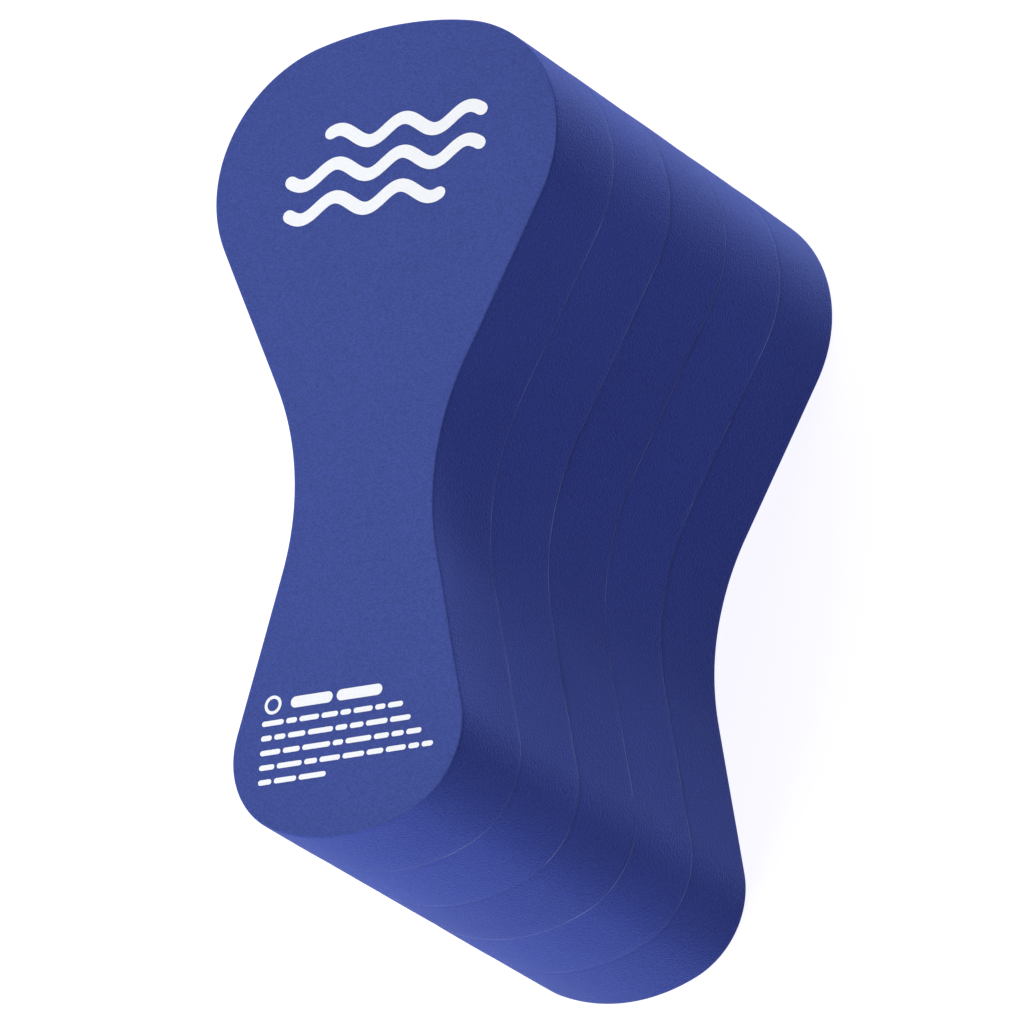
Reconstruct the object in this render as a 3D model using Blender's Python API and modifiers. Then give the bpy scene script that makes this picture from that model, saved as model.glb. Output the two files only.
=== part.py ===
"""Pull buoy: a leg float cut from a stack of bonded sheets of closed-cell foam.

The block lies on its plain end face with the printed end face up. X runs across the block, Y towards
its large lobe and Z through the stack. The origin is the middle of the face it rests on. Metres.
"""

import math

import bmesh
import bpy

# Driving dimensions of the block's outline, which is the same in every sheet.
BLOCK_HEIGHT = 0.236
LARGE_LOBE_WIDTH = 0.110
SMALL_LOBE_WIDTH = 0.073
WAIST_WIDTH = 0.045
WAIST_FROM_CROWN = 0.138
CROWN_RADIUS = 0.1085
SHOULDER_RADIUS = 0.040
WAIST_RADIUS = 0.0825
FOOT_RADIUS = 0.053
FOOT_CORNER_RADIUS = 0.025

# The stack.
STACK_DEPTH = 0.150
SHEET_NAMES = (
    "rear_foam_sheet",
    "rear_inner_foam_sheet",
    "centre_foam_sheet",
    "front_inner_foam_sheet",
    "front_foam_sheet",
)
GLUE_NAMES = ("rear_glue_film", "rear_inner_glue_film", "front_inner_glue_film", "front_glue_film")
GLUE_THICKNESS = 0.0004
GLUE_SETBACK = 0.0004
CLEARANCE = 0.0003
GLUE_LAYER = GLUE_THICKNESS + 2 * CLEARANCE
SHEET_THICKNESS = (STACK_DEPTH - len(GLUE_NAMES) * GLUE_LAYER) / len(SHEET_NAMES)
RIM_ROUNDING = 0.0012
RIM_SEGMENTS = 3

# The printed films on the front face. Each lies flush in a shallow pressed pocket.
FILM_THICKNESS = 0.0002
POCKET_DEPTH = FILM_THICKNESS + CLEARANCE
CUTTER_HEIGHT = 0.004

WAVE_STROKE = 0.0038
WAVE_AMPLITUDE = 0.0025
WAVE_LENGTH = 0.021
WAVE_POINTS = 72
# name: (middle X, middle Y, length)
WAVES = {
    "upper_wave_print": (0.006, 0.0868, 0.048),
    "middle_wave_print": (0.000, 0.0768, 0.060),
    "lower_wave_print": (-0.006, 0.0668, 0.048),
}

NOTICE_LEFT = -0.0276
RING_CENTRE = (-0.0245, -0.0772)
RING_RADIUS = 0.0027
RING_STROKE = 0.0009
HEADING_LEFT = -0.0188
# name: (left X, middle Y, length, height)
BARS = {
    "notice_heading_print": (HEADING_LEFT, -0.0773, 0.0290, 0.0034),
    "notice_line_1_print": (NOTICE_LEFT, -0.0824, 0.0447, 0.0020),
    "notice_line_2_print": (NOTICE_LEFT, -0.0866, 0.0474, 0.0020),
    "notice_line_3_print": (NOTICE_LEFT, -0.0908, 0.0511, 0.0020),
    "notice_line_4_print": (NOTICE_LEFT, -0.0950, 0.0550, 0.0020),
    "notice_line_5_print": (NOTICE_LEFT, -0.0992, 0.0215, 0.0020),
}

# Arcs are drawn as chords that leave the true curve by no more than this.
CHORD_ERROR = 0.00004
WELD_DISTANCE = 0.00001

FOAM_BLUE = (0.050, 0.080, 0.315, 1.0)
GLUE_BLUE = (0.075, 0.115, 0.380, 1.0)
INK_WHITE = (0.83, 0.84, 0.88, 1.0)
FOAM_ROUGHNESS = 0.82
GLUE_ROUGHNESS = 0.55
INK_ROUGHNESS = 0.45


def arc(centre, radius, start, end):
    """Points along an arc from one angle to another, both ends included."""
    step = 2 * math.acos(1 - CHORD_ERROR / radius)
    count = max(1, math.ceil(abs(end - start) / step))
    angles = [start + (end - start) * i / count for i in range(count + 1)]
    return [(centre[0] + radius * math.cos(a), centre[1] + radius * math.sin(a)) for a in angles]


def toward(a, b):
    """The direction from one point to another, and the distance."""
    return math.atan2(b[1] - a[1], b[0] - a[0]), math.hypot(b[0] - a[0], b[1] - a[1])


def block_outline(setback=0.0):
    """The hourglass outline, anticlockwise, drawn this far inside the block's own edge.

    Each side is five arcs that meet smoothly: crown, shoulder, waist, foot corner and foot, with a
    straight run before and after the waist.
    """
    crown_y = BLOCK_HEIGHT / 2
    crown = (0.0, crown_y - CROWN_RADIUS)
    shoulder_x = LARGE_LOBE_WIDTH / 2 - SHOULDER_RADIUS
    shoulder = (shoulder_x, crown[1] + math.sqrt((CROWN_RADIUS - SHOULDER_RADIUS) ** 2 - shoulder_x**2))
    foot = (0.0, FOOT_RADIUS - BLOCK_HEIGHT / 2)
    corner_x = SMALL_LOBE_WIDTH / 2 - FOOT_CORNER_RADIUS
    corner = (corner_x, foot[1] - math.sqrt((FOOT_RADIUS - FOOT_CORNER_RADIUS) ** 2 - corner_x**2))
    waist = (WAIST_WIDTH / 2 + WAIST_RADIUS, crown_y - WAIST_FROM_CROWN)

    down, apart = toward(shoulder, waist)
    shoulder_end = down + math.acos((SHOULDER_RADIUS + WAIST_RADIUS) / apart)
    up, apart = toward(corner, waist)
    corner_start = up - math.acos((FOOT_CORNER_RADIUS + WAIST_RADIUS) / apart)
    crown_end = toward(crown, shoulder)[0]
    foot_end = toward(foot, corner)[0]

    side = arc(foot, FOOT_RADIUS - setback, -math.pi / 2, foot_end)
    side += arc(corner, FOOT_CORNER_RADIUS - setback, foot_end, corner_start)[1:]
    side += arc(waist, WAIST_RADIUS + setback, corner_start + math.pi, shoulder_end + math.pi)
    side += arc(shoulder, SHOULDER_RADIUS - setback, shoulder_end, crown_end)
    side += arc(crown, CROWN_RADIUS - setback, crown_end, math.pi / 2)[1:]
    return side + [(-x, y) for x, y in side[-2:0:-1]]


def wave_outline(middle, length, half_stroke):
    """A sine-wave stroke with round ends. Its crests follow X alone, so strokes nest in parallel."""
    points = []
    for i in range(WAVE_POINTS + 1):
        x = middle[0] + length * (i / WAVE_POINTS - 0.5)
        phase = 2 * math.pi * x / WAVE_LENGTH
        slope = math.atan(WAVE_AMPLITUDE * 2 * math.pi / WAVE_LENGTH * math.cos(phase))
        points.append((x, middle[1] + WAVE_AMPLITUDE * math.sin(phase), slope))
    lower = [(x + half_stroke * math.sin(a), y - half_stroke * math.cos(a)) for x, y, a in points]
    upper = [(x - half_stroke * math.sin(a), y + half_stroke * math.cos(a)) for x, y, a in points]
    last_x, last_y, last_slope = points[-1]
    first_x, first_y, first_slope = points[0]
    right = arc((last_x, last_y), half_stroke, last_slope - math.pi / 2, last_slope + math.pi / 2)
    left = arc((first_x, first_y), half_stroke, first_slope + math.pi / 2, first_slope + 1.5 * math.pi)
    return lower + right[1:-1] + upper[::-1] + left[1:-1]


def bar_outline(left, middle_y, length, height, grow=0.0):
    """A bar with round ends, grown on every side."""
    radius = height / 2
    right_end = arc((left + length - radius, middle_y), radius + grow, -math.pi / 2, math.pi / 2)
    left_end = arc((left + radius, middle_y), radius + grow, math.pi / 2, 1.5 * math.pi)
    return right_end + left_end


def circle_outline(centre, radius):
    return arc(centre, radius, 0.0, 2 * math.pi)[:-1]


def plate(name, outlines, low_z, thickness, material, collection):
    """A flat plate from closed outlines, as a filled 2D curve. A second outline is a hole."""
    curve = bpy.data.curves.new(name, "CURVE")
    curve.dimensions = "2D"
    curve.fill_mode = "BOTH"
    curve.extrude = thickness / 2
    for outline in outlines:
        spline = curve.splines.new("POLY")
        spline.points.add(len(outline) - 1)
        spline.use_cyclic_u = True
        for point, (x, y) in zip(spline.points, outline):
            point.co = (x, y, 0.0, 1.0)
    if material:
        curve.materials.append(material)
    plate_object = bpy.data.objects.new(name, curve)
    plate_object.location.z = low_z + thickness / 2
    collection.objects.link(plate_object)
    return plate_object


def as_mesh(curve_object):
    """The same plate as a mesh object, its caps welded to its sides, so that it takes modifiers."""
    bpy.context.view_layer.update()
    evaluated = curve_object.evaluated_get(bpy.context.evaluated_depsgraph_get())
    mesh = bpy.data.meshes.new_from_object(evaluated)
    welded = bmesh.new()
    welded.from_mesh(mesh)
    bmesh.ops.remove_doubles(welded, verts=welded.verts, dist=WELD_DISTANCE)
    bmesh.ops.recalc_face_normals(welded, faces=welded.faces)
    welded.to_mesh(mesh)
    welded.free()

    name = curve_object.name
    collection = curve_object.users_collection[0]
    place = curve_object.matrix_world.copy()
    bpy.data.objects.remove(curve_object)
    mesh_object = bpy.data.objects.new(name, mesh)
    mesh_object.matrix_world = place
    collection.objects.link(mesh_object)
    return mesh_object


def round_rim(sheet, outer_sign):
    """Round the rim on a sheet's outer face: +1 is its top, -1 its underside."""
    mesh = sheet.data
    weights = mesh.attributes.new("bevel_weight_edge", "FLOAT", "EDGE")
    around = edges_between_cap_and_side(mesh)
    for edge in mesh.edges:
        ends = [mesh.vertices[i].co.z * outer_sign for i in edge.vertices]
        weights.data[edge.index].value = float(min(ends) > 0 and edge.index in around)
    rim = sheet.modifiers.new("rounded_rim", "BEVEL")
    rim.limit_method = "WEIGHT"
    rim.width = RIM_ROUNDING
    rim.segments = RIM_SEGMENTS


def edges_between_cap_and_side(mesh):
    """The edges where a flat cap meets the upright wall."""
    touching = {}
    for face in mesh.polygons:
        for key in face.edge_keys:
            touching.setdefault(key, []).append(abs(face.normal.z) > 0.5)
    return {edge.index for edge in mesh.edges if len(set(touching[edge.key])) == 2}


def material(name, colour, roughness):
    made = bpy.data.materials.new(name)
    made.use_nodes = True
    shader = made.node_tree.nodes["Principled BSDF"]
    shader.inputs["Base Color"].default_value = colour
    shader.inputs["Roughness"].default_value = roughness
    shader.inputs["Metallic"].default_value = 0.0
    return made


def clear_scene():
    for old in list(bpy.data.objects):
        bpy.data.objects.remove(old)


def new_collection(name):
    made = bpy.data.collections.new(name)
    bpy.context.scene.collection.children.link(made)
    return made


def sheet_low_z(index):
    """The height of a foam sheet's underside, counted from the rear sheet."""
    return index * (SHEET_THICKNESS + GLUE_LAYER)


def build_foam_sheets(parts):
    """Five equal sheets with the same outline. The two outer ones have a rounded outer rim."""
    sheets = []
    for index, name in enumerate(SHEET_NAMES):
        foam = material(name, FOAM_BLUE, FOAM_ROUGHNESS)
        low_z = sheet_low_z(index)
        sheets.append(as_mesh(plate(name, [block_outline()], low_z, SHEET_THICKNESS, foam, parts)))
    round_rim(sheets[0], -1)
    round_rim(sheets[-1], 1)
    return sheets


def build_glue_films(parts):
    """One thin film of adhesive in each joint, ending just inside the foam."""
    for index, name in enumerate(GLUE_NAMES):
        glue = material(name, GLUE_BLUE, GLUE_ROUGHNESS)
        low_z = sheet_low_z(index) + SHEET_THICKNESS + CLEARANCE
        plate(name, [block_outline(GLUE_SETBACK)], low_z, GLUE_THICKNESS, glue, parts)


def print_outlines():
    """For each printed film, its own outlines and those of the pocket it lies in."""
    films = {}
    for name, (x, y, length) in WAVES.items():
        half = WAVE_STROKE / 2
        films[name] = (
            [wave_outline((x, y), length, half)],
            [wave_outline((x, y), length, half + CLEARANCE)],
        )
    hole = RING_RADIUS - RING_STROKE
    films["notice_ring_print"] = (
        [circle_outline(RING_CENTRE, radius) for radius in (RING_RADIUS, hole)],
        [circle_outline(RING_CENTRE, radius) for radius in (RING_RADIUS + CLEARANCE, hole - CLEARANCE)],
    )
    for name, bar in BARS.items():
        films[name] = ([bar_outline(*bar)], [bar_outline(*bar, grow=CLEARANCE)])
    return films


def build_prints(front_sheet, parts, cutters):
    """The printed films, flush with the front face, and the shallow pockets they lie in."""
    for name, (film, pocket) in print_outlines().items():
        ink = material(name, INK_WHITE, INK_ROUGHNESS)
        plate(name, film, STACK_DEPTH - FILM_THICKNESS, FILM_THICKNESS, ink, parts)
        cutter = as_mesh(
            plate(name + "_pocket", pocket, STACK_DEPTH - POCKET_DEPTH, CUTTER_HEIGHT, None, cutters)
        )
        cutter.hide_render = True
        cutter.display_type = "WIRE"
    cut = front_sheet.modifiers.new("print_pockets", "BOOLEAN")
    cut.operation = "DIFFERENCE"
    cut.solver = "EXACT"
    cut.operand_type = "COLLECTION"
    cut.collection = cutters


def main():
    clear_scene()
    parts = new_collection("pull_buoy")
    cutters = new_collection("pocket_cutters")
    sheets = build_foam_sheets(parts)
    build_glue_films(parts)
    build_prints(sheets[-1], parts, cutters)

    block = bpy.data.objects.new("pull_buoy_block", None)
    parts.objects.link(block)
    for piece in parts.objects:
        if piece is not block:
            piece.parent = block


main()
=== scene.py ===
# %% [markdown]
# # A foam pull buoy
#
# A pull buoy is the float a swimmer squeezes between the thighs. This one is cut from a block of five
# sheets of closed-cell foam, bonded face to face. It has a large lobe, a narrow waist and a small lobe,
# and its front face carries a white hot-stamped print.
#
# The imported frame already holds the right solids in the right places. This lesson gives them their
# looks: it remakes each soft sheet with sanded sides and eased edges, lets the glue lines show, prints
# the face, and lights the result in a small white studio.

import math
import random

import bmesh
import bpy
from mathutils import Matrix, Vector, noise


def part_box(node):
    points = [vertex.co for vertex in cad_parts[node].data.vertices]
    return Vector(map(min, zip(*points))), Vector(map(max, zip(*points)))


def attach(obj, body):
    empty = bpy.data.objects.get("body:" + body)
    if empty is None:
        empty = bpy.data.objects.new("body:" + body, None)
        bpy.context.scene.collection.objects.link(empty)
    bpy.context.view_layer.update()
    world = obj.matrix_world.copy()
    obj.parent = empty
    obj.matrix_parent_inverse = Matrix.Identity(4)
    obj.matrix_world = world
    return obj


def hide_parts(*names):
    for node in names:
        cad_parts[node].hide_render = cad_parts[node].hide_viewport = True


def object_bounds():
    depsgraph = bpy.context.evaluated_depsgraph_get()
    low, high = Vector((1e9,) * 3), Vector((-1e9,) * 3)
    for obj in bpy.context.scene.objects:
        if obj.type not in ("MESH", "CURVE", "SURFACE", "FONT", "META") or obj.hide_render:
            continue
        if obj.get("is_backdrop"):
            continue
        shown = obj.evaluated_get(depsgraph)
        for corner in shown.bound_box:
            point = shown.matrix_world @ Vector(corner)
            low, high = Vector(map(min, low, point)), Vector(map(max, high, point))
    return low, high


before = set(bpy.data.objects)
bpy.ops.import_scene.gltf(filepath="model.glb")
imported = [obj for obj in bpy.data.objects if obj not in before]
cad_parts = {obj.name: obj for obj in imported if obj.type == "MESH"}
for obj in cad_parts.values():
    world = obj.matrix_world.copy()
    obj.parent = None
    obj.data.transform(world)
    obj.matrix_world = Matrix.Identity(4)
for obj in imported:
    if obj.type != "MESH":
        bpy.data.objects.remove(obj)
CAD_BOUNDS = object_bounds()
print("nodes:", len(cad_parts))

# %% [markdown]
# ## Measures
#
# Sizes that the frame can tell are read from it: the block's height and width come from the middle
# sheet's box, and the joints from the glue films' boxes. The radii of the outline's arcs can't be read
# from a box, so they are named here once.

# %% Measure the block
MM = 0.001

block_low, block_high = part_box("centre_foam_sheet")
BLOCK_HEIGHT = block_high.y - block_low.y
LARGE_LOBE_WIDTH = block_high.x - block_low.x
FRONT_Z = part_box("front_foam_sheet")[1].z

SMALL_LOBE_WIDTH = 73 * MM
WAIST_WIDTH = 45 * MM
WAIST_FROM_CROWN = 138 * MM
CROWN_RADIUS = 108.5 * MM
SHOULDER_RADIUS = 40 * MM
WAIST_RADIUS = 82.5 * MM
FOOT_RADIUS = 53 * MM
FOOT_CORNER_RADIUS = 25 * MM

print(f"block {LARGE_LOBE_WIDTH / MM:.1f} x {BLOCK_HEIGHT / MM:.1f} x {FRONT_Z / MM:.1f} mm")

# %% [markdown]
# ## Camera
#
# The block lies on its back, and the camera looks down on it from the small lobe's side with a long
# lens, turned about its own axis so that the large lobe is up. The long lens keeps the sides of the
# block nearly parallel. The camera is set up as a photographer would say it: where it aims, from which
# side, from how high, how far away and with how much roll.

# %% Place the camera
AIM = Vector((0.0, 1.3 * MM, FRONT_Z / 2))
CAMERA_AZIMUTH = math.radians(54.92)
CAMERA_ELEVATION = math.radians(52.02)
CAMERA_ROLL = math.radians(-57.55)
CAMERA_DISTANCE = 3.152
LENS_MM = 402.1
SENSOR_MM = 36.0


def aim_matrix(aim, azimuth, elevation, distance, roll=0.0):
    """Looks at a point from a compass side and a height. A lamp or a camera looks along its own -Z."""
    turn = Matrix.Rotation(azimuth, 4, "Z") @ Matrix.Rotation(math.pi / 2 - elevation, 4, "X")
    back_off = Matrix.Translation((0.0, 0.0, distance))
    return Matrix.Translation(aim) @ turn @ back_off @ Matrix.Rotation(roll, 4, "Z")


camera_data = bpy.data.cameras.new("long_lens_camera")
camera_data.lens = LENS_MM
camera_data.sensor_width = SENSOR_MM
camera = bpy.data.objects.new("long_lens_camera", camera_data)
camera.matrix_world = aim_matrix(AIM, CAMERA_AZIMUTH, CAMERA_ELEVATION, CAMERA_DISTANCE, CAMERA_ROLL)
bpy.context.scene.collection.objects.link(camera)
bpy.context.scene.camera = camera
print("camera at", [round(v, 3) for v in camera.matrix_world.translation])

# %% [markdown]
# ## Studio
#
# Foam is matt, so it wants broad light rather than reflections. A low softbox beyond the crown rakes
# along the floor, a high one on the left lifts the printed face, and a third stands at the foot. None
# stands on the +X side, so the long flank falls into shade and shows the hollow of the waist. The floor
# is a pale sheet lit from below, as on a product table: it keeps shadows faint and it alone lights the
# flank. It lies a hair under the block, so that no two surfaces coincide. The sky is white to the camera
# and almost black to the foam, so that it doesn't fill the shade.

# %% Build the floor and the lights
FLOOR_SIZE = 16.0
FLOOR_GAP = 0.2 * MM
FLOOR_GREY = (0.20, 0.20, 0.20, 1.0)
FLOOR_GLOW = (0.93, 0.92, 1.0, 1.0)
FLOOR_GLOW_STRENGTH = 1.0
FLOOR_ROUGHNESS = 0.9
FLOOR_SPECULAR = 0.1
SKY_WHITE = (1.0, 1.0, 1.0, 1.0)
SKY_FILL = (0.02, 0.02, 0.02, 1.0)
SOFTBOX_SIZE = 1.1
SOFTBOX_DISTANCE = 1.7

# name: (azimuth, elevation, power in watts)
SOFTBOXES = {
    "low_crown_softbox": (180.0, 12.0, 43.0),
    "high_left_softbox": (-90.0, 60.0, 14.5),
    "foot_softbox": (-30.0, 30.0, 30.0),
}


def new_material(name):
    """An empty Principled material, its shader and its nodes."""
    made = bpy.data.materials.new(name)
    made.use_nodes = True
    nodes = made.node_tree.nodes
    return made, nodes["Principled BSDF"], nodes, made.node_tree.links


def mixed_colour(nodes, links, factor, first, second):
    """A colour that goes from the first to the second as the factor rises."""
    mix = nodes.new("ShaderNodeMix")
    mix.data_type = "RGBA"
    colour_inputs = [socket for socket in mix.inputs if socket.type == "RGBA"]
    for socket, colour in zip(colour_inputs, (first, second)):
        socket.default_value = colour
    links.new(factor, mix.inputs[0])
    return next(socket for socket in mix.outputs if socket.type == "RGBA")


def add_floor():
    mesh = bpy.data.meshes.new("studio_floor")
    sheet = bmesh.new()
    under = Matrix.Translation((0.0, 0.0, -FLOOR_GAP))
    bmesh.ops.create_grid(sheet, x_segments=1, y_segments=1, size=FLOOR_SIZE / 2, matrix=under)
    sheet.to_mesh(mesh)
    sheet.free()
    paint, shader, _, _ = new_material("pale_floor")
    shader.inputs["Base Color"].default_value = FLOOR_GREY
    shader.inputs["Roughness"].default_value = FLOOR_ROUGHNESS
    shader.inputs["Specular IOR Level"].default_value = FLOOR_SPECULAR
    shader.inputs["Emission Color"].default_value = FLOOR_GLOW
    shader.inputs["Emission Strength"].default_value = FLOOR_GLOW_STRENGTH
    mesh.materials.append(paint)
    floor = bpy.data.objects.new("studio_floor", mesh)
    bpy.context.scene.collection.objects.link(floor)
    floor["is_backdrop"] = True


def add_softbox(name, azimuth, elevation, power):
    lamp = bpy.data.lights.new(name, "AREA")
    lamp.size = SOFTBOX_SIZE
    lamp.energy = power
    stand = bpy.data.objects.new(name, lamp)
    place = (math.radians(azimuth), math.radians(elevation), SOFTBOX_DISTANCE)
    stand.matrix_world = aim_matrix(AIM, *place)
    bpy.context.scene.collection.objects.link(stand)


def add_sky():
    sky = bpy.data.worlds.new("studio_sky")
    sky.use_nodes = True
    nodes, links = sky.node_tree.nodes, sky.node_tree.links
    ray = nodes.new("ShaderNodeLightPath")
    seen = mixed_colour(nodes, links, ray.outputs["Is Camera Ray"], SKY_FILL, SKY_WHITE)
    links.new(seen, nodes["Background"].inputs["Color"])
    bpy.context.scene.world = sky


add_floor()
for softbox, setting in SOFTBOXES.items():
    add_softbox(softbox, *setting)
add_sky()
bpy.context.scene.view_settings.view_transform = "Standard"
print("softboxes:", ", ".join(SOFTBOXES))

# %% [markdown]
# ## The grain of the foam
#
# Closed-cell foam is a mass of tiny bubbles. A knife cuts them open, so the cut face is a field of
# shallow pits about 0.4 mm across, and sanding the sides raises a velvety nap between them. An image
# would repeat and blur, so the grain is worked out in space from Voronoi cells and noise. One node
# group serves both surfaces: it reads an attribute that says how far the surface was sanded, and goes
# from pits to nap with it. Its height comes out in millimetres. The nap has both a height, which shows
# where light rakes over it, and a speckle of colour, which a fine fibre noise makes crisper.

# %% Make the grain group
def new_group(name, inputs, outputs):
    """A shader node group with named sockets, and its two ends."""
    group = bpy.data.node_groups.new(name, "ShaderNodeTree")
    for in_out, sockets in (("INPUT", inputs), ("OUTPUT", outputs)):
        for socket, kind in sockets.items():
            group.interface.new_socket(socket, in_out=in_out, socket_type=kind)
    return group, group.nodes.new("NodeGroupInput"), group.nodes.new("NodeGroupOutput")


def maths(tree, operation, *values):
    """A Math node. Each value is a number or a socket to link."""
    node = tree.nodes.new("ShaderNodeMath")
    node.operation = operation
    for socket, value in zip(node.inputs, values):
        if isinstance(value, bpy.types.NodeSocket):
            tree.links.new(value, socket)
        else:
            socket.default_value = value
    return node.outputs[0]


def noise_at(tree, where, scale, detail):
    """A noise pattern around zero, with this many features to the metre."""
    node = tree.nodes.new("ShaderNodeTexNoise")
    tree.links.new(where, node.inputs["Vector"])
    node.inputs["Scale"].default_value = scale
    node.inputs["Detail"].default_value = detail
    return maths(tree, "SUBTRACT", node.outputs["Fac"], 0.5)


def voronoi_at(tree, where, scale):
    """Cells: how far each point is from its cell's middle, and a random value for the cell."""
    node = tree.nodes.new("ShaderNodeTexVoronoi")
    tree.links.new(where, node.inputs["Vector"])
    node.inputs["Scale"].default_value = scale
    cell_value = tree.nodes.new("ShaderNodeSeparateColor")
    tree.links.new(node.outputs["Color"], cell_value.inputs[0])
    return node.outputs["Distance"], maths(tree, "SUBTRACT", cell_value.outputs[0], 0.5)


def scaled_colour(tree, colour, factor):
    """A colour made lighter or darker by a factor."""
    node = tree.nodes.new("ShaderNodeVectorMath")
    node.operation = "SCALE"
    tree.links.new(colour, node.inputs[0])
    tree.links.new(factor, node.inputs["Scale"])
    return node.outputs[0]


BUBBLES_PER_METRE = 2600
NAP_PER_METRE = 1800
FIBRE_PER_METRE = 4200
CLOUDS_PER_METRE = 38
FACE_NAP_SHARE = 0.5
MIDDLE_ROUGHNESS = 0.80
ROUGHNESS_SPREAD = 0.25

GRAIN_INPUTS = {
    "Place": "NodeSocketVector",
    "Foam Colour": "NodeSocketColor",
    "Sanded": "NodeSocketFloat",
    "Pit Contrast": "NodeSocketFloat",
    "Pit Depth": "NodeSocketFloat",
    "Nap Contrast": "NodeSocketFloat",
    "Nap Depth": "NodeSocketFloat",
    "Cloudiness": "NodeSocketFloat",
}
GRAIN_OUTPUTS = {
    "Colour": "NodeSocketColor",
    "Roughness": "NodeSocketFloat",
    "Height": "NodeSocketFloat",
}


def foam_grain_group():
    group, start, end = new_group("foam_grain", GRAIN_INPUTS, GRAIN_OUTPUTS)
    given = start.outputs
    place, sanded = given["Place"], given["Sanded"]
    skived = maths(group, "SUBTRACT", 1.0, sanded)
    nap_share = maths(group, "MULTIPLY_ADD", sanded, 1.0 - FACE_NAP_SHARE, FACE_NAP_SHARE)
    pit_distance, pit_value = voronoi_at(group, place, BUBBLES_PER_METRE)
    nap = noise_at(group, place, NAP_PER_METRE, detail=1.5)
    fibre = noise_at(group, place, FIBRE_PER_METRE, detail=1.0)
    clouds = noise_at(group, place, CLOUDS_PER_METRE, detail=3.0)

    pit_contrast = maths(group, "MULTIPLY", skived, given["Pit Contrast"])
    nap_contrast = maths(group, "MULTIPLY", nap_share, given["Nap Contrast"])
    pits = maths(group, "MULTIPLY", pit_value, pit_contrast)
    fluff = maths(group, "MULTIPLY", maths(group, "ADD", nap, fibre), nap_contrast)
    cloud = maths(group, "MULTIPLY", clouds, given["Cloudiness"])
    total = maths(group, "ADD", maths(group, "ADD", pits, fluff), maths(group, "ADD", cloud, 1.0))
    colour = scaled_colour(group, given["Foam Colour"], total)

    rough = maths(group, "MULTIPLY_ADD", nap, ROUGHNESS_SPREAD, MIDDLE_ROUGHNESS)
    pit_depth = maths(group, "MULTIPLY", skived, given["Pit Depth"])
    nap_depth = maths(group, "MULTIPLY", sanded, given["Nap Depth"])
    pit_height = maths(group, "MULTIPLY", pit_distance, pit_depth)
    nap_height = maths(group, "MULTIPLY", nap, nap_depth)
    height = maths(group, "ADD", pit_height, nap_height)
    for value, socket in ((colour, "Colour"), (rough, "Roughness"), (height, "Height")):
        group.links.new(value, end.inputs[socket])
    return group


foam_grain = foam_grain_group()
print("group", foam_grain.name, "has", len(foam_grain.nodes), "nodes")

# %% [markdown]
# ## Foam
#
# The five sheets come from the same foam, but each was poured apart, so each is a shade lighter or
# darker than the next. The side is painted a deeper blue than the face, with less red and green:
# that is painted shade, so that the side reads as the flank does in shade. The colour is mixed by
# the same attribute that the grain reads. Open cells scatter light at a glancing angle, which gives
# the soft bloom along the crown. That is the shader's sheen, and it is one value all over, so it is
# set on its own socket.

# %% Make the foam materials
FACE_BLUE = (0.045, 0.069, 0.270)
# the side's blue is painted shade: less red and green than the face's, as the flank looks in shade
SIDE_BLUE_PAINTED_SHADE = (0.032, 0.052, 0.280)
FOAM_SPECULAR = 0.05
SHEEN_TINT = (0.55, 0.75, 1.0, 1.0)
SHEEN_WEIGHT = 0.20
SHEEN_ROUGHNESS = 0.35
SANDED = "sanded"

FOAM_GRAIN = {
    "Pit Contrast": 0.30,
    "Pit Depth": 0.07,
    "Nap Contrast": 0.72,
    "Nap Depth": 0.40,
    "Cloudiness": 0.10,
}

# name: how light the sheet is beside the others
SHEET_SHADES = {
    "rear_foam_sheet": 0.97,
    "rear_inner_foam_sheet": 1.02,
    "centre_foam_sheet": 0.98,
    "front_inner_foam_sheet": 1.03,
    "front_foam_sheet": 1.00,
}


def add_grain(nodes, links, shader, colours, amounts):
    """Puts the grain group in a material, with this piece's amounts, and links it to the shader."""
    grain = nodes.new("ShaderNodeGroup")
    grain.node_tree = foam_grain
    coordinates = nodes.new("ShaderNodeTexCoord")
    sanded = nodes.new("ShaderNodeAttribute")
    sanded.attribute_name = SANDED
    links.new(coordinates.outputs["Object"], grain.inputs["Place"])
    links.new(sanded.outputs["Fac"], grain.inputs["Sanded"])
    # the sanded mask also mixes the side's painted shade into the colour
    links.new(mixed_colour(nodes, links, sanded.outputs["Fac"], *colours), grain.inputs["Foam Colour"])
    for socket, amount in amounts.items():
        grain.inputs[socket].default_value = amount
    bump = nodes.new("ShaderNodeBump")
    bump.inputs["Distance"].default_value = MM
    links.new(grain.outputs["Height"], bump.inputs["Height"])
    links.new(bump.outputs["Normal"], shader.inputs["Normal"])
    links.new(grain.outputs["Roughness"], shader.inputs["Roughness"])
    links.new(grain.outputs["Colour"], shader.inputs["Base Color"])


def foam_material(name, shade):
    made, shader, nodes, links = new_material(name)
    # the second colour, for the side, holds painted shade
    colours = [(*(channel * shade for channel in blue), 1.0) for blue in (FACE_BLUE, SIDE_BLUE_PAINTED_SHADE)]
    add_grain(nodes, links, shader, colours, FOAM_GRAIN)
    shader.inputs["Specular IOR Level"].default_value = FOAM_SPECULAR
    shader.inputs["Sheen Weight"].default_value = SHEEN_WEIGHT
    shader.inputs["Sheen Roughness"].default_value = SHEEN_ROUGHNESS
    shader.inputs["Sheen Tint"].default_value = SHEEN_TINT
    return made


foam_materials = {name: foam_material(name + "_foam", shade) for name, shade in SHEET_SHADES.items()}
print("foam materials:", len(foam_materials))

# %% [markdown]
# ## The outline
#
# The block is cut with a hot wire or a band saw round a template. The template is made of arcs that
# meet smoothly, so its centres can be worked out from the radii and widths. Half of it is turned from
# a single point: each arc is a spin about its own centre, and a straight run is an extrusion. A mirror
# then gives the other half, which keeps the two sides equal.

# %% Work out the arcs
def direction(a, b):
    """The angle of the way from one point to another."""
    return math.atan2(b[1] - a[1], b[0] - a[0])


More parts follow.
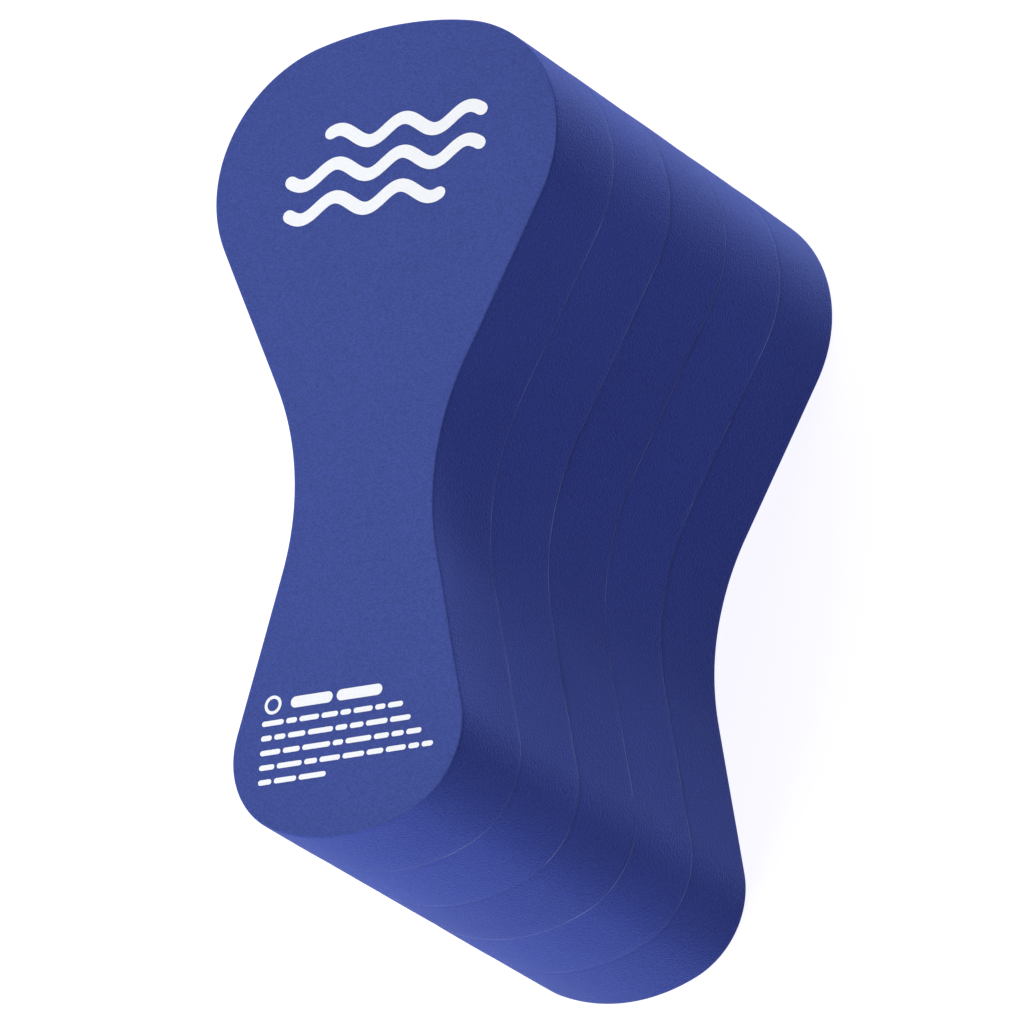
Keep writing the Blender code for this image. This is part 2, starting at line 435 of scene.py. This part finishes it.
def template_arcs(setback=0.0):
    """(centre, radius, start angle, end angle) of each arc on the +X side, from foot to crown."""
    half = BLOCK_HEIGHT / 2
    crown = (0.0, half - CROWN_RADIUS)
    across = LARGE_LOBE_WIDTH / 2 - SHOULDER_RADIUS
    shoulder = (across, crown[1] + math.sqrt((CROWN_RADIUS - SHOULDER_RADIUS) ** 2 - across**2))
    foot = (0.0, FOOT_RADIUS - half)
    across = SMALL_LOBE_WIDTH / 2 - FOOT_CORNER_RADIUS
    corner = (across, foot[1] - math.sqrt((FOOT_RADIUS - FOOT_CORNER_RADIUS) ** 2 - across**2))
    waist = (WAIST_WIDTH / 2 + WAIST_RADIUS, half - WAIST_FROM_CROWN)

    corner_turn = math.acos((FOOT_CORNER_RADIUS + WAIST_RADIUS) / math.dist(corner, waist))
    shoulder_turn = math.acos((SHOULDER_RADIUS + WAIST_RADIUS) / math.dist(shoulder, waist))
    corner_end = direction(corner, waist) - corner_turn
    shoulder_start = direction(shoulder, waist) + shoulder_turn
    foot_end, crown_start = direction(foot, corner), direction(crown, shoulder)
    return [
        (foot, FOOT_RADIUS - setback, -math.pi / 2, foot_end),
        (corner, FOOT_CORNER_RADIUS - setback, foot_end, corner_end),
        (waist, WAIST_RADIUS + setback, corner_end + math.pi, shoulder_start + math.pi),
        (shoulder, SHOULDER_RADIUS - setback, shoulder_start, crown_start),
        (crown, CROWN_RADIUS - setback, crown_start, math.pi / 2),
    ]


print("arcs on each side:", len(template_arcs()))

# %% Turn the outline
ARC_STEP = 1.6 * MM
UP = (0.0, 0.0, 1.0)
JOIN_WITHIN = 0.01 * MM


def arc_start(centre, radius, angle, height):
    return Vector((centre[0] + radius * math.cos(angle), centre[1] + radius * math.sin(angle), height))


def draw_outline(bm, height, setback=0.0):
    """Draws the closed outline at a height, set back from the template, and gives its edges."""
    arcs = template_arcs(setback)
    pen = bm.verts.new(arc_start(*arcs[0][:3], height))
    for centre, radius, start, end in arcs:
        begin = arc_start(centre, radius, start, height)
        straight_steps = round((begin - pen.co).length / ARC_STEP)
        for left in range(straight_steps, 0, -1):
            moved = bmesh.ops.extrude_vert_indiv(bm, verts=[pen])["verts"][0]
            moved.co = pen.co + (begin - pen.co) / left
            pen = moved
        turned = bmesh.ops.spin(
            bm,
            geom=[pen],
            cent=(*centre, height),
            axis=UP,
            angle=end - start,
            steps=max(2, round(abs(end - start) * radius / ARC_STEP)),
        )
        pen = next(v for v in turned["geom_last"] if isinstance(v, bmesh.types.BMVert))
    bmesh.ops.remove_doubles(bm, verts=bm.verts, dist=JOIN_WITHIN)
    bmesh.ops.mirror(bm, geom=bm.verts[:] + bm.edges[:], merge_dist=JOIN_WITHIN, axis="X")
    return bm.edges[:]


trial = bmesh.new()
draw_outline(trial, 0.0)
OUTLINE_POINTS = len(trial.verts)
outline_width = max(v.co.x for v in trial.verts) - min(v.co.x for v in trial.verts)
outline_height = max(v.co.y for v in trial.verts) - min(v.co.y for v in trial.verts)
print(f"outline: {OUTLINE_POINTS} points, {outline_width / MM:.2f} x {outline_height / MM:.2f} mm")
print("closed:", all(len(v.link_edges) == 2 for v in trial.verts))
trial.free()

# %% [markdown]
# ## A foam sheet
#
# A sheet is the outline filled and pulled up to its thickness. Three things make it look cut and not
# computed. Its rims are eased: 0.6 mm where the face meets the side on the outer sheets, and a hair at
# the joints, which is what makes a joint show as a fine line. Its side is sanded by hand, so
# it wavers by nearly a tenth of a millimetre. And each sheet swells a hair between its joints and
# leans by its own amount, because the foam springs back after the belt has passed.
# A boolean or a subdivision surface could round the rims too, but a bevel keeps the faces flat.

# %% Build one sheet
OUTER_RIM = 0.6 * MM
JOINT_RIM = 0.09 * MM
SIDE_ROWS = 14
SAND_WAVER = 0.09 * MM
SAND_WAVER_PER_METRE = 42.0
SWELL = 0.05 * MM
LEAN = 0.05 * MM
FACE_MARGIN = 0.6 * MM
SHEET_SEED_STEP = 10
LEVEL_WITHIN = 0.001 * MM
FLAT_NORMAL_Z = 0.5
UPRIGHT_LENGTH = 2 * MM


def rim_edges(bm, height):
    """The edges between the flat face at a height and the side."""
    on_rim = []
    for edge in bm.edges:
        level = all(abs(v.co.z - height) < LEVEL_WITHIN for v in edge.verts)
        if level and len({abs(f.normal.z) > FLAT_NORMAL_Z for f in edge.link_faces}) == 2:
            on_rim.append(edge)
    return on_rim


def ease_rim(bm, height, radius, segments):
    """Rounds the edge between the face at a height and the side."""
    bm.normal_update()
    bmesh.ops.bevel(
        bm,
        geom=rim_edges(bm, height),
        offset=radius,
        offset_type="OFFSET",
        affect="EDGES",
        segments=segments,
        profile=0.5,
        material=-1,
    )


def slab(bm, low_z, high_z, setback=0.0):
    """Fills the outline and pulls it up."""
    outline = draw_outline(bm, low_z, setback)
    face = bmesh.ops.edgeloop_fill(bm, edges=outline)["faces"]
    pulled = bmesh.ops.extrude_face_region(bm, geom=face)
    up = [v for v in pulled["geom"] if isinstance(v, bmesh.types.BMVert)]
    bmesh.ops.translate(bm, verts=up, vec=(0.0, 0.0, high_z - low_z))
    bmesh.ops.recalc_face_normals(bm, faces=bm.faces)


def cut_rows(bm, rows):
    """Cuts the side into rows, so that it can waver between its rims."""
    upright = [e for e in bm.edges if abs(e.verts[0].co.z - e.verts[1].co.z) > UPRIGHT_LENGTH]
    bmesh.ops.subdivide_edges(bm, edges=upright, cuts=rows - 1, use_grid_fill=True)


def margin_faces(bm):
    """Insets the two flat faces, so that the rims' smooth shading stops at a narrow margin."""
    bm.normal_update()
    flat = [f for f in bm.faces if len(f.verts) > OUTLINE_POINTS / 2]
    bmesh.ops.inset_individual(bm, faces=flat, thickness=FACE_MARGIN, depth=0.0)


def sand_sides(bm, low_z, high_z, seed):
    """Moves each point of the side in or out a little along its level normal."""
    lean = LEAN * random.Random(seed).uniform(-1.0, 1.0)
    bm.normal_update()
    for vert in bm.verts:
        level = Vector((vert.normal.x, vert.normal.y, 0.0))
        up = 2 * (vert.co.z - low_z) / (high_z - low_z) - 1
        where = vert.co * SAND_WAVER_PER_METRE + Vector((0.0, 0.0, seed))
        vert.co += level * (SAND_WAVER * noise.noise(where) - SWELL * up**2 + lean * up)


def mark_sanded(mesh):
    """Stores how far each point was sanded: fully on the side, not at all on a face."""
    marks = mesh.attributes.new(SANDED, "FLOAT", "POINT")
    for vert in mesh.vertices:
        marks.data[vert.index].value = 1.0 - abs(vert.normal.z)


SHARP_ANGLE = math.radians(50)


def finish_piece(bm, name, paint, nodes):
    """Turns a bmesh into a piece of the object that stands for some CAD nodes."""
    mesh = bpy.data.meshes.new(name)
    bm.to_mesh(mesh)
    bm.free()
    mesh.shade_smooth()
    mesh.set_sharp_from_angle(angle=SHARP_ANGLE)
    mesh.materials.append(paint)
    piece = bpy.data.objects.new(name, mesh)
    bpy.context.scene.collection.objects.link(piece)
    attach(piece, "root")
    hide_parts(*nodes)
    return piece


def foam_sheet(node, low_z, high_z, rims, index):
    bm = bmesh.new()
    slab(bm, low_z, high_z)
    for height, (radius, segments) in zip((low_z, high_z), rims):
        ease_rim(bm, height, radius, segments)
    cut_rows(bm, SIDE_ROWS)
    margin_faces(bm)
    sand_sides(bm, low_z, high_z, seed=SHEET_SEED_STEP * index)
    piece = finish_piece(bm, node + "_cut", foam_materials[node], [node])
    mark_sanded(piece.data)
    print(f"{node}: {len(piece.data.polygons)} faces, {low_z / MM:.2f} to {high_z / MM:.2f} mm")
    return piece


# %% [markdown]
# ## The stack
#
# The glue films' boxes say where the joints are. A real film is a few tenths of a millimetre of
# contact cement with the foam pressed down on it, so each sheet is carried on to the film.

# %% Stack the sheets
GLUE_NODES = ("rear_glue_film", "rear_inner_glue_film", "front_inner_glue_film", "front_glue_film")
GLUE_THICKNESS = 0.20 * MM
GLUE_CLEARANCE = 0.02 * MM
PRINT_PROUD = 0.06 * MM
OUTER_RIM_SEGMENTS = 5
JOINT_RIM_SEGMENTS = 3

joint_heights = [sum(corner.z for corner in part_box(node)) / 2 for node in GLUE_NODES]
half_joint = GLUE_THICKNESS / 2 + GLUE_CLEARANCE
sheet_lows = [0.0] + [z + half_joint for z in joint_heights]
sheet_highs = [z - half_joint for z in joint_heights] + [FRONT_Z - PRINT_PROUD]
outer, joint = (OUTER_RIM, OUTER_RIM_SEGMENTS), (JOINT_RIM, JOINT_RIM_SEGMENTS)
sheet_rims = [(outer, joint)] + [(joint, joint)] * 3 + [(joint, outer)]

sheets = [
    foam_sheet(node, low, high, rims, index)
    for index, (node, low, high, rims) in enumerate(
        zip(SHEET_SHADES, sheet_lows, sheet_highs, sheet_rims)
    )
]

# %% [markdown]
# ## Glue lines
#
# Cement is harder than foam. The sander takes the foam down and leaves the film standing a hair proud
# in some places and buried in others, so a joint shows as a fine pale line that comes and goes. Each
# film is the same outline set back a hair, a fifth of a millimetre thick, and its edge wanders.

# %% Make the glue films
GLUE_DARK = (0.034, 0.050, 0.250, 1.0)
GLUE_PALE = (0.140, 0.170, 0.430, 1.0)
GLUE_WANDER = 0.08 * MM
GLUE_WANDER_PER_METRE = 45.0
GLUE_SETBACK = 0.05 * MM
GLUE_RIM = 0.05 * MM
GLUE_RIM_SEGMENTS = 2
GLUE_SEED_STEP = 7.0
GLUE_PATCHES_PER_METRE = 60.0
GLUE_DARK_UNTIL, GLUE_PALE_FROM = 0.42, 0.62
GLUE_ROUGHNESS = 0.5


def glue_material():
    made, shader, nodes, links = new_material("contact_cement")
    coordinates = nodes.new("ShaderNodeTexCoord")
    where = coordinates.outputs["Object"]
    patches = noise_at(made.node_tree, where, GLUE_PATCHES_PER_METRE, detail=3.0)
    ramp = nodes.new("ShaderNodeValToRGB")
    stops = ((GLUE_DARK_UNTIL, GLUE_DARK), (GLUE_PALE_FROM, GLUE_PALE))
    for element, (position, colour) in zip(ramp.color_ramp.elements, stops):
        element.position = position
        element.color = colour
    links.new(maths(made.node_tree, "ADD", patches, 0.5), ramp.inputs["Fac"])
    links.new(ramp.outputs["Color"], shader.inputs["Base Color"])
    shader.inputs["Roughness"].default_value = GLUE_ROUGHNESS
    return made


def glue_film(node, height, seed, paint):
    bm = bmesh.new()
    low_z, high_z = height - GLUE_THICKNESS / 2, height + GLUE_THICKNESS / 2
    slab(bm, low_z, high_z, GLUE_SETBACK)
    for rim in (low_z, high_z):
        ease_rim(bm, rim, GLUE_RIM, GLUE_RIM_SEGMENTS)
    bm.normal_update()
    for vert in bm.verts:
        level = Vector((vert.normal.x, vert.normal.y, 0.0))
        wander = noise.noise(vert.co * GLUE_WANDER_PER_METRE + Vector((seed, 0.0, 0.0)))
        vert.co += level * GLUE_WANDER * wander
    piece = finish_piece(bm, node + "_line", paint, [node])
    print(f"{node}: {len(piece.data.polygons)} faces")
    return piece


cement = glue_material()
glue_films = [
    glue_film(node, height, GLUE_SEED_STEP * index, cement)
    for index, (node, height) in enumerate(zip(GLUE_NODES, joint_heights))
]

# %% [markdown]
# ## The print
#
# The face is hot-stamped: a heated die presses white film on to the foam, which leaves it a few
# hundredths of a millimetre proud, with the foam's pits showing through a little. The ink shares the
# foam's grain group with small amounts, so that print and foam look like one surface.

# %% Make the ink
INK_WHITE = (0.80, 0.82, 0.86, 1.0)
INK_GRAIN = {
    "Pit Contrast": 0.06,
    "Pit Depth": 0.02,
    "Nap Contrast": 0.10,
    "Nap Depth": 0.0,
    "Cloudiness": 0.04,
}


def ink_material():
    made, shader, nodes, links = new_material("stamped_white_film")
    add_grain(nodes, links, shader, (INK_WHITE, INK_WHITE), INK_GRAIN)
    return made


ink = ink_material()
print("ink:", ink.name)

# %% [markdown]
# ## Waves
#
# The mark is three plain waves. A wave could be a curve object with a bevel, but its caps would need
# welding. A strip of grid is simpler: it is laid along a sine curve, narrowed to round ends, welded at
# its two tips and pulled down to the film's thickness.

# %% Stamp the waves
WAVE_NODES = ("upper_wave_print", "middle_wave_print", "lower_wave_print")
WAVE_STROKE = 3.8 * MM
WAVE_AMPLITUDE = 2.5 * MM
WAVE_LENGTH = 21 * MM
WAVE_STEP = 0.25 * MM
WELD = 0.001 * MM


def pull_down(bm, thickness):
    """Pulls a flat film down to a closed one of this thickness."""
    bmesh.ops.remove_doubles(bm, verts=bm.verts, dist=WELD)
    pulled = bmesh.ops.extrude_face_region(bm, geom=bm.faces[:], use_keep_orig=True)
    lower = [v for v in pulled["geom"] if isinstance(v, bmesh.types.BMVert)]
    bmesh.ops.translate(bm, verts=lower, vec=(0.0, 0.0, -thickness))
    bmesh.ops.recalc_face_normals(bm, faces=bm.faces)


def wave(node):
    """A strip of film bent along a sine curve. Its phase comes from X alone, so the waves nest."""
    low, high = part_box(node)
    middle = (low + high) / 2
    radius = WAVE_STROKE / 2
    reach = (high.x - low.x) / 2
    bm = bmesh.new()
    place = Matrix.Translation((middle.x, middle.y, high.z))
    place = place @ Matrix.Diagonal((reach, radius, 1.0, 1.0))
    columns = round(2 * reach / WAVE_STEP)
    bmesh.ops.create_grid(bm, x_segments=columns, y_segments=2, size=1.0, matrix=place)
    for vert in bm.verts:
        to_end = min(radius, reach - abs(vert.co.x - middle.x))
        round_end = math.sqrt(max(0.0, 1 - (1 - to_end / radius) ** 2))
        phase = 2 * math.pi * vert.co.x / WAVE_LENGTH
        slope = math.atan(WAVE_AMPLITUDE * 2 * math.pi / WAVE_LENGTH * math.cos(phase))
        across = (vert.co.y - middle.y) * round_end
        vert.co.x -= across * math.sin(slope)
        vert.co.y = middle.y + WAVE_AMPLITUDE * math.sin(phase) + across * math.cos(slope)
    pull_down(bm, high.z - low.z)
    piece = finish_piece(bm, node.replace("print", "film"), ink, [node])
    print(f"{node}: {len(piece.data.polygons)} faces")
    return piece


waves = [wave(node) for node in WAVE_NODES]

# %% [markdown]
# ## Ring
#
# A plain ring stands before the notice. It is a thin upright rectangle turned once about the ring's
# middle. The spin is a full one, so its last section is merged with its first.

# %% Stamp the ring
RING_NODE = "notice_ring_print"
RING_STROKE = 0.9 * MM
RING_STEPS = 48


def ring(node):
    low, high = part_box(node)
    middle = (low + high) / 2
    thickness = high.z - low.z
    section = Matrix.Translation((high.x - RING_STROKE / 2, middle.y, middle.z))
    section = section @ Matrix.Rotation(math.pi / 2, 4, "X")
    section = section @ Matrix.Diagonal((RING_STROKE, thickness, 1.0, 1.0))
    bm = bmesh.new()
    bmesh.ops.create_grid(bm, x_segments=1, y_segments=1, size=0.5, matrix=section)
    bmesh.ops.delete(bm, geom=bm.faces[:], context="FACES_ONLY")
    bmesh.ops.spin(
        bm,
        geom=bm.verts[:] + bm.edges[:],
        cent=middle,
        axis=UP,
        angle=2 * math.pi,
        steps=RING_STEPS,
        use_merge=True,
    )
    bmesh.ops.recalc_face_normals(bm, faces=bm.faces)
    piece = finish_piece(bm, node.replace("print", "film"), ink, [node])
    print(f"{node}: {len(piece.data.polygons)} faces")
    return piece


notice_ring = ring(RING_NODE)

# %% [markdown]
# ## Word bars
#
# Small print is too fine to need words. Each line is a row of plain round-ended bars with gaps between
# them, of lengths drawn from a seeded random generator, so that it reads as a line of print and says
# nothing. A bar is a cube with its upright edges bevelled to almost half its height.

# %% Stamp the bars
HEADING_NODE = "notice_heading_print"
LINE_COUNT = 5
LINE_NODES = [f"notice_line_{number + 1}_print" for number in range(LINE_COUNT)]
# the shortest and the longest word
HEADING_WORDS = (12.0 * MM, 16.0 * MM)
LINE_WORDS = (3.0 * MM, 9.0 * MM)
# a bar's height and the gap after it
HEADING_BAR = (3.2 * MM, 1.3 * MM)
LINE_BAR = (1.5 * MM, 0.8 * MM)
BAR_CORNERS = 0.48
BAR_CORNER_SEGMENTS = 5
WORD_SEED = 7

word_lengths = random.Random(WORD_SEED)


def word_bar(bm, left, length, middle_y, height, low_z, high_z):
    """Adds one round-ended bar."""
    centre = (left + length / 2, middle_y, (low_z + high_z) / 2)
    size = Matrix.Diagonal((length, height, high_z - low_z, 1.0))
    made = bmesh.ops.create_cube(bm, size=1.0, matrix=Matrix.Translation(centre) @ size)["verts"]
    upright = {e for v in made for e in v.link_edges if abs(e.verts[0].co.z - e.verts[1].co.z) > WELD}
    bmesh.ops.bevel(
        bm,
        geom=list(upright),
        offset=min(height, length) * BAR_CORNERS,
        offset_type="OFFSET",
        affect="EDGES",
        segments=BAR_CORNER_SEGMENTS,
        profile=0.5,
        material=-1,
    )


def print_line(node, words, height, gap):
    """A line of word bars that fills the node's length."""
    low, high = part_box(node)
    bm = bmesh.new()
    left = low.x
    while left < high.x:
        length = word_lengths.uniform(*words)
        if high.x - left - length < words[0] + gap:
            length = high.x - left
        word_bar(bm, left, length, (low.y + high.y) / 2, height, low.z, high.z)
        left += length + gap
    piece = finish_piece(bm, node.replace("print", "film"), ink, [node])
    print(f"{node}: {len(piece.data.polygons)} faces")
    return piece


notice = [print_line(HEADING_NODE, HEADING_WORDS, *HEADING_BAR)]
notice += [print_line(node, LINE_WORDS, *LINE_BAR) for node in LINE_NODES]

# %% [markdown]
# ## The size before and after
#
# The looks must not change the size. The boxes before and after are printed side by side.

# %% Print the sizes and finish
pieces = sheets + glue_films + waves + [notice_ring] + notice
print("pieces:", len(pieces), "faces:", sum(len(piece.data.polygons) for piece in pieces))

VISUAL_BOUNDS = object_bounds()
for label, corners in (("cad", CAD_BOUNDS), ("visual", VISUAL_BOUNDS)):
    print(label, [[round(v / MM, 2) for v in corner] for corner in corners])
